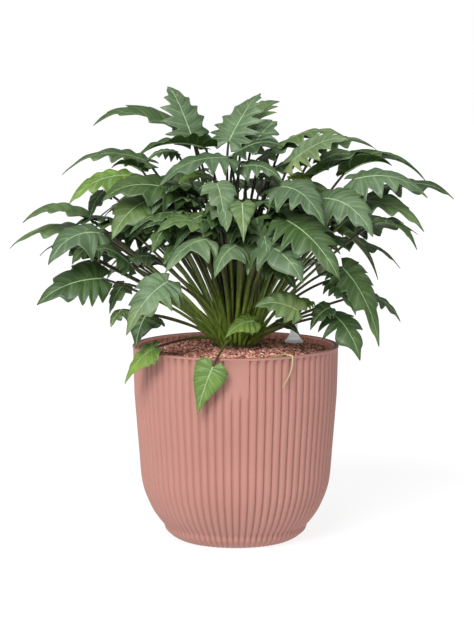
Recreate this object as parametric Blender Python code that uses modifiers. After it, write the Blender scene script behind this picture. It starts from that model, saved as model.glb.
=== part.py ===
"""Potted philodendron: a feather-leaved plant in a fluted planter filled with clay granules.

Run with: blender --background --python part.py
Metres, +Z up, the origin at the centre of the pot's flat bottom, the front of the pot towards -Y.
Every leaf is one grown piece: a petiole that starts on the crown and widens into its blade.
"""
import math

import bpy
from mathutils import Matrix, Vector

MM = 0.001
GAP = 0.0003  # between pieces that touch
UP = Vector((0.0, 0.0, 1.0))

# Pot
POT_HEIGHT = 0.281
RIM_RADIUS = 0.1485
WAIST_RADIUS = 0.1035
WAIST_HEIGHT = 0.020
BASE_RADIUS = 0.082
WALL = 0.0075
FLOOR = 0.012
RIM_BAND = 0.003  # height of the smooth ring at the top
RIM_STEP = 0.0008  # how far that ring stands out from the wall
RIB_COUNT = 76
GROOVE_DEPTH = 0.0018
PATCH_RIBS = 3  # ribs that the plain label patch replaces
PATCH_HEIGHT = 0.060
PATCH_TURN = math.radians(0.6)
# the wall from waist to rim: share of the rise, share of the widening
WALL_CURVE = ((0.050, 0.230), (0.120, 0.470), (0.244, 0.720), (0.450, 0.830), (0.700, 0.945))

# Granules
FILL_BELOW_RIM = 0.010  # at the wall
MOUND = 0.008  # rise of the granules towards the plant

# Root ball and crown
BALL_RADIUS = 0.062
BALL_DEPTH = 0.150
CROWN_RADIUS = 0.033
CROWN_ABOVE = 0.004  # the crown's flat top above the granules round it

# Water level indicator
INDICATOR_IN = 0.0355  # its axis in from the pot's inner wall
INDICATOR_TURN = math.radians(35.2)  # round towards the back from the right-hand side
TUBE_RADIUS = 0.0055
TUBE_WALL = 0.0010
TUBE_ABOVE = 0.040
TUBE_BELOW = 0.120
COLLAR_RADIUS = 0.0138
COLLAR_HEIGHT = 0.0120
COLLAR_WALL = 0.0012
FLOAT_RADIUS = 0.0036
FLOAT_LENGTH = 0.012
CAP_HEIGHT = 0.006

# Aerial root
ROOT_RADIUS = 0.0014

# Leaves
PETIOLE_FOOT = 0.0027  # petiole radius at the crown
PETIOLE_TOP = 0.0017  # and at the blade
BLADE_THICK = 0.0011
SLOT_PITCH = 0.0063  # between petioles on the crown
SLOT_ROUNDS = 60  # rounds of pushing them apart
PETIOLE_RINGS = 6
BEND_LENGTH = 0.050
SPLAY = 0.5  # how far each petiole already leans towards its blade where it leaves the crown  # of petiole that turns into the line of the blade

# Outlines: place along the midrib, half width, forward sweep of the edge as a share of the length
FEATHERED = (
    (0.02, 0.30, -0.15), (0.04, 0.60, -0.08), (0.06, 0.66, 0.00), (0.10, 0.88, 0.09), (0.17, 0.62, 0.11),
    (0.24, 0.90, 0.18), (0.33, 0.56, 0.14), (0.42, 0.70, 0.20), (0.53, 0.38, 0.15), (0.63, 0.40, 0.18),
    (0.76, 0.18, 0.12), (0.88, 0.10, 0.07),
)
HEART = (
    (0.02, 0.40, -0.18), (0.05, 0.86, -0.10), (0.10, 0.98, 0.05), (0.24, 0.90, 0.14), (0.42, 0.62, 0.16),
    (0.62, 0.32, 0.14), (0.84, 0.12, 0.08),
)
OUTLINES = {"feather": FEATHERED, "heart": HEART}

TONES = {
    "light": (0.20, 0.33, 0.18),
    "mid": (0.10, 0.20, 0.09),
    "dark": (0.045, 0.10, 0.045),
    "young": (0.20, 0.38, 0.07),
}

# Leaves in millimetres: name, blade base and blade tip (x, y, height above the rim), width, arch of the
# midrib, roll of the upper side towards the front in degrees, outline, tone
LEAVES = (
    ("leaf_01", (-61, 5, 295), (-97, 45, 371), 80, 8, 10, "feather", "light"),
    ("leaf_02", (-62, 48, 292), (-208, 30, 320), 84, 26, 16, "feather", "mid"),
    ("leaf_03", (-44, -22, 285), (-138, -70, 275), 66, 14, -10, "feather", "dark"),
    ("leaf_04", (-11, -50, 271), (-108, -112, 237), 78, 16, 14, "feather", "light"),
    ("leaf_05", (-10, 10, 291), (36, 62, 359), 90, 8, 5, "feather", "light"),
    ("leaf_06", (10, 55, 294), (64, 105, 349), 80, 10, 5, "feather", "mid"),
    ("leaf_07", (22, -2, 282), (60, 40, 320), 62, 6, 14, "feather", "light"),
    ("leaf_08", (0, -24, 277), (68, -46, 287), 58, 12, 20, "feather", "dark"),
    ("leaf_09", (70, 12, 292), (160, -5, 299), 68, 14, 8, "feather", "mid"),
    ("leaf_10", (78, -40, 265), (158, -65, 299), 82, 12, 34, "feather", "light"),
    ("leaf_11", (122, 30, 287), (206, 25, 279), 64, 14, 12, "feather", "mid"),
    ("leaf_12", (110, -10, 245), (276, 5, 243), 92, 30, 0, "feather", "mid"),
    ("leaf_13", (154, -26, 248), (222, -26, 260), 54, 12, -14, "feather", "dark"),
    ("leaf_14", (166, -60, 242), (270, -80, 219), 84, 18, 26, "feather", "light"),
    ("leaf_15", (212, 0, 227), (314, -5, 213), 64, 14, 14, "feather", "dark"),
    ("leaf_16", (160, -20, 206), (268, -60, 171), 78, 20, 20, "feather", "mid"),
    ("leaf_17", (197, -30, 178), (256, -62, 143), 64, 18, -6, "feather", "mid"),
    ("leaf_18", (120, -85, 217), (190, -146, 171), 92, 18, 34, "feather", "light"),
    ("leaf_19", (62, -110, 235), (122, -168, 187), 92, 18, 22, "feather", "light"),
    ("leaf_20", (70, -125, 190), (142, -185, 115), 98, 14, 24, "feather", "mid"),
    ("leaf_21", (42, -140, 157), (92, -195, 111), 78, 12, 20, "feather", "light"),
    ("leaf_22", (2, -148, 157), (-30, -185, 117), 60, 12, 10, "feather", "light"),
    ("leaf_23", (-38, -140, 165), (-96, -180, 123), 78, 14, 14, "feather", "light"),
    ("leaf_24", (-26, -105, 239), (-14, -155, 181), 56, 14, 0, "feather", "light"),
    ("leaf_25", (9, -138, 215), (11, -178, 163), 40, 12, 0, "heart", "mid"),
    ("leaf_26", (-80, -70, 225), (-188, -105, 217), 86, 18, 30, "feather", "dark"),
    ("leaf_27", (-120, -70, 213), (-172, -112, 163), 82, 14, 26, "feather", "mid"),
    ("leaf_28", (-150, -20, 245), (-236, -50, 209), 66, 14, 26, "feather", "young"),
    ("leaf_29", (-188, 0, 221), (-209, -22, 183), 46, 8, 0, "feather", "dark"),
    ("leaf_30", (-208, 5, 180), (-304, -20, 178), 56, 18, 16, "feather", "mid"),
    ("leaf_31", (-200, 22, 159), (-328, 12, 141), 74, 20, 16, "feather", "mid"),
    ("leaf_32", (-188, -55, 165), (-264, -95, 127), 88, 20, 34, "feather", "light"),
    ("leaf_33", (-188, -50, 101), (-280, -75, 67), 82, 12, 44, "feather", "dark"),
    ("leaf_34", (-146, -82, 123), (-194, -114, 149), 66, 10, 30, "feather", "dark"),
    ("leaf_35", (-92, -140, 107), (-150, -185, 39), 80, 14, 26, "feather", "light"),
    ("leaf_36", (-124, -95, 55), (-140, -122, 11), 62, 10, 10, "heart", "dark"),
    ("leaf_39", (27, -61, 42), (-16, -77, 21), 40, 8, 22, "heart", "young"),
    ("leaf_40", (88, -118, 63), (26, -124, 69), 50, 10, 60, "feather", "mid"),
    ("leaf_41", (60, -44, 37), (92, -66, 21), 28, 6, 20, "heart", "dark"),
    ("leaf_42", (140, -60, 49), (176, -95, -9), 76, 12, 20, "feather", "dark"),
    ("leaf_43", (150, -50, 117), (206, -82, 9), 78, 20, 26, "feather", "mid"),
    ("leaf_44", (146, 22, 163), (208, 14, 93), 50, 16, -10, "feather", "mid"),
    ("leaf_45", (186, 30, 69), (240, 20, 31), 52, 12, 10, "feather", "dark"),
    ("leaf_46", (-60, 120, 239), (-120, 190, 189), 92, 16, 0, "feather", "mid"),
    ("leaf_47", (40, 130, 229), (70, 215, 174), 94, 16, 0, "feather", "light"),
    ("leaf_48", (120, 110, 199), (200, 170, 159), 90, 16, 0, "feather", "mid"),
    ("leaf_49", (-120, 120, 169), (-210, 165, 114), 88, 16, 0, "feather", "dark"),
    ("leaf_50", (-20, 150, 139), (-40, 240, 79), 92, 16, 0, "feather", "mid"),
    ("leaf_51", (110, 140, 109), (165, 215, 49), 86, 16, 0, "feather", "dark"),
)

# Leaves that hang over the rim: the same, but base and tip are degrees round the pot from its front,
# millimetres outside the rim and height above it
RIM_LEAVES = (
    ("leaf_37", (-46, 8, 10), (-57, 38, -42), 48, 10, 0, "heart", "young"),
    ("leaf_38", (-11, 14, -9), (-19, 16, -77), 50, 6, 0, "heart", "young"),
)


def clear_scene():
    for item in list(bpy.data.objects):
        bpy.data.objects.remove(item, do_unlink=True)


def material(name, color, roughness, metallic=0.0, alpha=1.0):
    """A plain surface for one piece."""
    made = bpy.data.materials.new(name)
    made.use_nodes = True
    shader = made.node_tree.nodes["Principled BSDF"]
    shader.inputs["Base Color"].default_value = (*color, 1.0)
    shader.inputs["Roughness"].default_value = roughness
    shader.inputs["Metallic"].default_value = metallic
    shader.inputs["Alpha"].default_value = alpha
    made.diffuse_color = (*color, 1.0)
    return made


def piece(collection, name, mesh, color, roughness, alpha=1.0):
    """Put a finished mesh into the collection as a named piece with its own material."""
    mesh.name = name
    made = bpy.data.objects.new(name, mesh)
    collection.objects.link(made)
    mesh.materials.append(material(name, color, roughness, 0.0, alpha))
    return made


def screw_mesh(profile, steps):
    """A closed outline of (radius, height) turned about Z by a Screw modifier."""
    line = bpy.data.meshes.new("outline")
    around = list(zip(profile, profile[1:] + profile[:1]))
    if sum(r1 * z2 - r2 * z1 for (r1, z1), (r2, z2) in around) > 0.0:
        profile = profile[::-1]  # the outer side runs downwards, which turns the faces outwards
    count = len(profile)
    closed = all(radius > 0.0 for radius, _ in profile)
    edges = [(i, i + 1) for i in range(count - 1)]
    if closed:
        edges.append((count - 1, 0))
    line.from_pydata([(radius, 0.0, height) for radius, height in profile], edges, [])
    holder = bpy.data.objects.new("outline", line)
    bpy.context.scene.collection.objects.link(holder)
    turn = holder.modifiers.new("turn", "SCREW")
    turn.steps = turn.render_steps = steps
    turn.use_merge_vertices = True
    turn.merge_threshold = 0.00005
    turn.use_normal_calculate = False
    graph = bpy.context.evaluated_depsgraph_get()
    mesh = bpy.data.meshes.new_from_object(holder.evaluated_get(graph))
    bpy.data.objects.remove(holder, do_unlink=True)
    return mesh


def pot_outer():
    """Outer side of the pot from the rim down to the flat bottom, as (radius, height)."""
    band = POT_HEIGHT - RIM_BAND
    wall_top = RIM_RADIUS - RIM_STEP
    rise = band - RIM_STEP - WAIST_HEIGHT
    widen = wall_top - WAIST_RADIUS
    points = [(RIM_RADIUS - 0.0010, POT_HEIGHT), (RIM_RADIUS, POT_HEIGHT - 0.0020), (RIM_RADIUS - 0.0004, band)]
    points.append((wall_top, band - RIM_STEP))
    points.append((wall_top - 0.03 * widen, POT_HEIGHT - PATCH_HEIGHT))
    for up, out in reversed(WALL_CURVE):
        points.append((WAIST_RADIUS + out * widen, WAIST_HEIGHT + up * rise))
    foot = WAIST_RADIUS - BASE_RADIUS
    points.append((WAIST_RADIUS, WAIST_HEIGHT))
    points.append((BASE_RADIUS + 0.90 * foot, 0.70 * WAIST_HEIGHT))
    points.append((BASE_RADIUS + 0.48 * foot, 0.28 * WAIST_HEIGHT))
    points.append((BASE_RADIUS, 0.0))
    return points


def inner_radius(height):
    """Inner radius of the pot wall at a height."""
    side = [(r, z) for r, z in pot_outer() if z < POT_HEIGHT - 0.001]
    for (r1, z1), (r2, z2) in zip(side, side[1:]):
        if z2 <= height <= z1:
            return r2 + (r1 - r2) * (height - z2) / (z1 - z2) - WALL
    return side[0][0] - WALL


def inner_heights():
    """Heights of the inner wall's corners, from the floor up to just below the rim."""
    top = POT_HEIGHT - 0.0015
    return [FLOOR, FLOOR + 0.016, 0.050, 0.085, 0.150, top]


def build_pot(collection):
    """Turned pot; every second column of its outer side is then pushed in as a groove."""
    outer = pot_outer()
    inner = [(inner_radius(height), height) for height in inner_heights()]
    inner[0] = (inner[0][0] - 0.006, inner[0][1])
    rim = [(inner[-1][0] + 0.0012, POT_HEIGHT)]
    profile = [(0.0, FLOOR)] + inner + rim + outer + [(0.0, 0.0)]
    mesh = screw_mesh(profile, 2 * RIB_COUNT)
    pitch = math.tau / RIB_COUNT
    plain_top = POT_HEIGHT - RIM_BAND - 0.001
    for vertex in mesh.vertices:
        x, y, z = vertex.co
        radius = math.hypot(x, y)
        if z > plain_top or radius < inner_radius(max(z, 0.0)) + 0.6 * WALL or radius < 0.5 * BASE_RADIUS:
            continue
        angle = math.atan2(x, -y)
        column = angle / pitch
        if abs(column - round(column)) > 0.25:
            in_patch = abs(column) < PATCH_RIBS / 2 - 0.1 and z > POT_HEIGHT - PATCH_HEIGHT - 0.001
            if not in_patch:
                scale = (radius - GROOVE_DEPTH) / radius
                vertex.co.x *= scale
                vertex.co.y *= scale
    mesh.transform(Matrix.Rotation(PATCH_TURN, 4, "Z"))
    return piece(collection, "pot", mesh, (0.60, 0.29, 0.24), 0.55)


def granule_top(radius):
    """Height of the granules at a distance from the axis."""
    edge = POT_HEIGHT - FILL_BELOW_RIM
    share = min(radius / inner_radius(edge), 1.0)
    return edge + MOUND * (1.0 - share * share)


def build_granules(collection):
    """The whole filling as one solid, with a well for the root ball and crown and one for the tube."""
    well = BALL_RADIUS + GAP
    ball_top = granule_top(BALL_RADIUS) - 0.012
    ball_low = ball_top - BALL_DEPTH
    neck = CROWN_RADIUS + GAP
    side = []
    for height in (FLOOR + GAP, FLOOR + 0.016, 0.050, 0.085, 0.150):
        side.append((inner_radius(height) - GAP - 0.0005, height))
    side[0] = (side[0][0] - 0.006, side[0][1])
    edge = inner_radius(POT_HEIGHT - FILL_BELOW_RIM) - GAP - 0.0005
    profile = [(0.0, side[0][1])] + side + [(edge, granule_top(edge))]
    profile += [(0.7 * edge, granule_top(0.7 * edge)), (neck, granule_top(neck))]
    profile += [(neck, ball_top + GAP), (well, ball_top + GAP), (well, ball_low - GAP), (0.0, ball_low - GAP)]
    mesh = screw_mesh(profile, 48)
    bed = piece(collection, "granule_bed", mesh, (0.42, 0.16, 0.12), 0.9)
    well_cutter = cylinder("tube_well", TUBE_RADIUS + GAP, granule_top(0.0) + 0.02 - tube_foot() + GAP, 24)
    x, y = indicator_place()
    well_cutter.location = (x, y, tube_foot() - GAP)
    cut = bed.modifiers.new("tube_well", "BOOLEAN")
    cut.operation = "DIFFERENCE"
    cut.solver = "EXACT"
    cut.object = well_cutter
    return bed


def cylinder(name, radius, height, sides):
    """A hidden cutter standing on its own origin."""
    turned = screw_mesh([(0.0, 0.0), (radius, 0.0), (radius, height), (0.0, height)], sides)
    made = bpy.data.objects.new(name, turned)
    CUTTERS.objects.link(made)
    made.hide_render = True
    made.display_type = "WIRE"
    return made


def build_root_ball(collection):
    top = granule_top(BALL_RADIUS) - 0.012
    low = top - BALL_DEPTH
    radius = BALL_RADIUS
    profile = [(0.0, low), (0.8 * radius, low), (radius, low + 0.2 * radius), (radius, top), (0.0, top)]
    piece(collection, "root_ball", screw_mesh(profile, 32), (0.16, 0.10, 0.06), 0.95)


def crown_top():
    return granule_top(CROWN_RADIUS) + CROWN_ABOVE


def build_crown(collection):
    low = granule_top(BALL_RADIUS) - 0.012 + GAP
    profile = [(0.0, low), (CROWN_RADIUS, low), (CROWN_RADIUS, crown_top()), (0.0, crown_top())]
    piece(collection, "crown", screw_mesh(profile, 32), (0.16, 0.13, 0.06), 0.8)


def tube_foot():
    return collar_foot() - TUBE_BELOW


def indicator_place():
    """The indicator's axis, seen from above."""
    away = inner_radius(POT_HEIGHT - FILL_BELOW_RIM) - INDICATOR_IN
    return away * math.cos(INDICATOR_TURN), away * math.sin(INDICATOR_TURN)


def collar_foot():
    return granule_top(math.hypot(*indicator_place()) - COLLAR_RADIUS) + GAP


def build_indicator(collection):
    """Clear tube with a flared collar on the granules, a float inside and a cap on top."""
    place = Matrix.Translation((*indicator_place(), 0.0))
    foot = tube_foot()
    top = collar_foot() + TUBE_ABOVE
    bore = TUBE_RADIUS - TUBE_WALL
    tube = screw_mesh([(0.0, foot), (TUBE_RADIUS, foot), (TUBE_RADIUS, top), (bore, top),
                       (bore, foot + 0.002), (0.0, foot + 0.002)], 20)
    tube.transform(place)
    piece(collection, "indicator_tube", tube, (0.85, 0.87, 0.88), 0.08, 0.35)
    low = collar_foot()
    inner = TUBE_RADIUS + GAP
    collar = screw_mesh([(COLLAR_RADIUS, low), (COLLAR_RADIUS, low + COLLAR_WALL),
                         (0.6 * COLLAR_RADIUS, low + 0.45 * COLLAR_HEIGHT),
                         (inner + COLLAR_WALL, low + COLLAR_HEIGHT), (inner, low + COLLAR_HEIGHT),
                         (inner, low + 0.35 * COLLAR_HEIGHT), (COLLAR_RADIUS - COLLAR_WALL, low)], 24)
    collar.transform(place)
    piece(collection, "indicator_collar", collar, (0.80, 0.83, 0.86), 0.10, 0.45)
    radius = FLOAT_RADIUS
    middle = low + 0.017
    half = 0.5 * FLOAT_LENGTH
    rod_low = foot + 0.002 + GAP
    marker = screw_mesh([(0.0, rod_low), (0.0007, rod_low), (0.0007, middle - half - 0.001),
                         (radius, middle - half), (radius, middle + half),
                         (0.0, middle + half + 0.001)], 12)
    marker.transform(place)
    piece(collection, "indicator_float", marker, (0.35, 0.03, 0.03), 0.4)
    plug = bore - GAP
    cap = screw_mesh([(0.0, top - 0.004), (plug, top - 0.004), (plug, top + GAP), (TUBE_RADIUS + 0.001, top + GAP),
                      (TUBE_RADIUS + 0.001, top + CAP_HEIGHT - 0.001), (TUBE_RADIUS, top + CAP_HEIGHT),
                      (0.0, top + CAP_HEIGHT)], 20)
    cap.transform(place)
    piece(collection, "indicator_cap", cap, (0.80, 0.83, 0.86), 0.15, 0.5)


def build_aerial_root(collection):
    """A thin pale root that leaves the granules and hangs over the front of the rim."""
    turn = math.radians(30.0)
    out = Vector((math.sin(turn), -math.cos(turn), 0.0))
    side = Vector((math.cos(turn), math.sin(turn), 0.0))
    clear = ROOT_RADIUS + GAP
    wall = RIM_RADIUS
    edge = wall - WALL
    course = (
        (edge - 0.030, granule_top(edge - 0.034) + clear, -0.006),
        (edge - 0.018, granule_top(edge) + clear + 0.006, -0.004),
        (edge - 0.004, POT_HEIGHT + clear + 0.0005, 0.000),
        (wall - 0.001, POT_HEIGHT + clear, 0.002),
        (wall + clear, POT_HEIGHT + 0.0010, 0.004),
        (wall + clear + 0.0010, POT_HEIGHT - 0.004, 0.004),
        (wall + clear + 0.0010, POT_HEIGHT - 0.014, 0.003),
        (wall + clear + 0.0012, POT_HEIGHT - 0.028, -0.003),
        (wall + clear + 0.0016, POT_HEIGHT - 0.042, -0.013),
    )
    curve = bpy.data.curves.new("aerial_root", "CURVE")
    curve.dimensions = "3D"
    curve.bevel_depth = ROOT_RADIUS
    curve.bevel_resolution = 2
    curve.use_fill_caps = True
    line = curve.splines.new("POLY")
    line.points.add(len(course) - 1)
    for point, (away, height, across) in zip(line.points, course):
        point.co = (*(out * away + side * across + UP * height), 1.0)
    line.points[-1].radius = 0.5
    made = bpy.data.objects.new("aerial_root", curve)
    collection.objects.link(made)
    curve.materials.append(material("aerial_root", (0.55, 0.60, 0.30), 0.6))


def bezier(points, t):
    a, b, c, d = points
    s = 1.0 - t
    return a * s ** 3 + b * (3 * s * s * t) + c * (3 * s * t * t) + d * t ** 3


def slope(points, t):
    a, b, c, d = points
    s = 1.0 - t
    return ((b - a) * (s * s) + (c - b) * (2 * s * t) + (d - c) * (t * t)).normalized()


def all_leaves():
    """Every leaf with its base and tip as points in metres, and whether it hangs over the rim."""
    leaves = []
    for name, base, tip, *rest in LEAVES:
        ends = [Vector(point) * MM + UP * POT_HEIGHT for point in (base, tip)]
        leaves.append((name, *ends, *rest, False))
    for name, base, tip, *rest in RIM_LEAVES:
        ends = []
        for turn, outside, height in (base, tip):
            away = RIM_RADIUS + outside * MM
            angle = math.radians(turn)
            ends.append(Vector((away * math.sin(angle), -away * math.cos(angle), POT_HEIGHT + height * MM)))
        leaves.append((name, *ends, *rest, True))
    return leaves


def crown_slots(leaves):
    """Where each petiole stands on the crown: below its own blade, upright leaves nearest the middle."""
    def lean(row):
        x, y, z = row[1]
        return math.hypot(x, y) / (z - crown_top() + 0.040)

    order = sorted(leaves, key=lean)
    spread = CROWN_RADIUS - PETIOLE_FOOT - 0.001
    feet = []
    for rank, row in enumerate(order):
        away = spread * math.sqrt(rank / len(order))
        feet.append(row[1].xy.normalized() * away)
    for _ in range(SLOT_ROUNDS):
        for i, foot in enumerate(feet):
            for other in feet[:i]:
                between = foot - other
                short = SLOT_PITCH - between.length
                if short > 0.0:
                    push = between.normalized() * (0.5 * short)
                    foot += push
                    other -= push
            if foot.length > spread:
                foot *= spread / foot.length
    return {row[0]: Vector((*foot, crown_top() + GAP)) for row, foot in zip(order, feet)}


def leaf_paths(row, slot):
    """Petiole and midrib curves, and the blade's frame at its base."""
    _, base, tip, _, arch, roll, _, _, over_rim = row
    chord = tip - base
    lift = UP * (arch * MM)
    midrib = (base, base + chord / 3 + lift, base + chord * (2 / 3) + lift * 1.3, tip)
    away = base if over_rim else chord
    heading = Vector((away.x, away.y, 0.0)).normalized()
    lateral = Vector((heading.y, -heading.x, 0.0))
    if lateral.y > 0.0:
        roll = -roll
    along = slope(midrib, 0.0)
    lateral = Matrix.Rotation(math.radians(roll), 3, along) @ lateral
    reach = (base - slot).length
    bend = 0.7 if over_rim else 0.4
    arrive = ((base - slot).normalized() * (1.0 - bend) + along * bend).normalized()
    rise = 0.15 * reach + 0.25 * (base.z - slot.z)
    splay = 0.0 if over_rim else SPLAY
    start = UP * (1.0 - splay) + (base - slot).normalized() * splay
    petiole = (slot, slot + start * rise, base - arrive * min(0.28 * reach, BEND_LENGTH), base)
    return petiole, midrib, lateral


def leaf_mesh(row, slot):
    """Loft four-cornered sections up the petiole and out along the blade."""
    petiole, midrib, lateral = leaf_paths(row, slot)
    outline = OUTLINES[row[6]]
    half = 0.5 * row[3] * MM
    length = (midrib[3] - midrib[0]).length
    rings = []
    across = lateral
    for i in range(PETIOLE_RINGS):
        t = 1.0 - i / (PETIOLE_RINGS - 1)
        along = slope(petiole, t)
        across = (across - along * across.dot(along)).normalized()
        normal = across.cross(along)
        radius = PETIOLE_TOP + (PETIOLE_FOOT - PETIOLE_TOP) * (1.0 - t)
        centre = bezier(petiole, t)
        if t == 0.0:
            normal = across.cross(UP).normalized()
            across = UP.cross(normal)
        rings.append([centre - across * radius, centre + normal * radius,
                      centre + across * radius, centre - normal * radius])
    rings.reverse()
    for place, wide, sweep in outline:
        along = slope(midrib, place)
        side = (lateral - along * lateral.dot(along)).normalized()
        normal = side.cross(along)
        centre = bezier(midrib, place)
        rib = BLADE_THICK * (1.3 - 0.6 * place)
        edge = along * (sweep * length) - normal * (0.10 * half * wide)
        rings.append([centre - side * (half * wide) + edge, centre + normal * (0.4 * rib),
                      centre + side * (half * wide) + edge, centre - normal * (0.6 * rib)])
    verts = [Vector(point) for ring in rings for point in ring] + [midrib[3]]
    faces = [(0, 2, 1), (0, 3, 2)]
    last = 4 * (len(rings) - 1)
    for k in range(0, last, 4):
        for i in range(4):
            j = (i + 1) % 4
            a, b, c, d = k + i, k + j, k + 4 + j, k + 4 + i
            # upper and under sides are split along matching lines, so that the thin blade never crosses itself
            faces += [(a, b, c), (a, c, d)] if i in (0, 2) else [(a, b, d), (b, c, d)]
    for i in range(4):
        faces.append((last + i, last + (i + 1) % 4, len(verts) - 1))
    mesh = bpy.data.meshes.new(row[0])
    mesh.from_pydata(verts, [], faces)
    return mesh


def build_leaves(collection):
    leaves = all_leaves()
    slots = crown_slots(leaves)
    for row in sorted(leaves):
        piece(collection, row[0], leaf_mesh(row, slots[row[0]]), TONES[row[7]], 0.45)


def new_collection(name):
    made = bpy.data.collections.new(name)
    bpy.context.scene.collection.children.link(made)
    return made


clear_scene()
PLANT = new_collection("potted_philodendron")
CUTTERS = new_collection("cutters")
build_pot(PLANT)
build_granules(PLANT)
build_root_ball(PLANT)
build_crown(PLANT)
build_indicator(PLANT)
build_aerial_root(PLANT)
build_leaves(PLANT)
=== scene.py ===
"""Looks of the potted philodendron: feather-cut leaves, fluted pot, clay granules, level indicator."""

import math
from collections import namedtuple

import bpy
import numpy as np
from mathutils import Matrix, Vector


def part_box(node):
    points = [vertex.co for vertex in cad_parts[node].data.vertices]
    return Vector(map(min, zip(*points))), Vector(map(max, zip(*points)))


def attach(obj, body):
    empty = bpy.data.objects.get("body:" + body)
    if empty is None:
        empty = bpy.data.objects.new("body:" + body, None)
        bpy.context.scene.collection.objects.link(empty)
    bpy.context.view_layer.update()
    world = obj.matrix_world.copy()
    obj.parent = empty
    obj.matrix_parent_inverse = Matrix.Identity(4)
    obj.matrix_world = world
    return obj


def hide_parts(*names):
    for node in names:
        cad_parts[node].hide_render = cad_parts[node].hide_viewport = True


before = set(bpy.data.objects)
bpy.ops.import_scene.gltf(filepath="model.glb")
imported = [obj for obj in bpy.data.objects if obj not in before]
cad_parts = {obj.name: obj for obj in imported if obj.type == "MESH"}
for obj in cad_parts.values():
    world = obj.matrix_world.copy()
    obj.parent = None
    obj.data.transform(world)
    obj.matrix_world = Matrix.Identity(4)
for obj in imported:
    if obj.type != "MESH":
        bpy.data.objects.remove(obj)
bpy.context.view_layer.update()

MM = 0.001
UP = np.array((0.0, 0.0, 1.0))
WHITE = (1.0, 1.0, 1.0, 1.0)

# --- Sizes in metres ---
# The pot's height and rim come from the frame. The rest repeats the CAD source's values, but the grooves are
# deeper (1.8 mm there) and the blades thinner (1.1 mm there).
POT_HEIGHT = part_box("pot")[1].z
RIM_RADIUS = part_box("pot")[1].x
WAIST_RADIUS = 0.1035
WAIST_HEIGHT = 0.020
BASE_RADIUS = 0.082
WALL = 0.0075
FLOOR = 0.012
RIM_BAND = 0.003
RIM_STEP = 0.0008
RIB_COUNT = 76
GROOVE_DEPTH = 0.0040
PATCH_RIBS = 3
PATCH_HEIGHT = 0.060
PATCH_TURN = math.radians(0.6)
FILL_RADIUS = RIM_RADIUS - RIM_STEP - WALL
# The wall's curve: how far up it is, and how far it has widened, as shares of the whole
WALL_CURVE = ((0.050, 0.230), (0.120, 0.470), (0.244, 0.720), (0.450, 0.830), (0.700, 0.945))

CROWN_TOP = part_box("crown")[1].z
CROWN_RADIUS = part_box("crown")[1].x
FILL_BELOW_RIM = 0.010
MOUND = 0.008

PETIOLE_FOOT = 0.0027
PETIOLE_TOP = 0.0017
SLOT_PITCH = 0.0063
SLOT_ROUNDS = 60
BEND_LENGTH = 0.050
SPLAY = 0.5
BLADE_THICK = 0.0007

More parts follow.
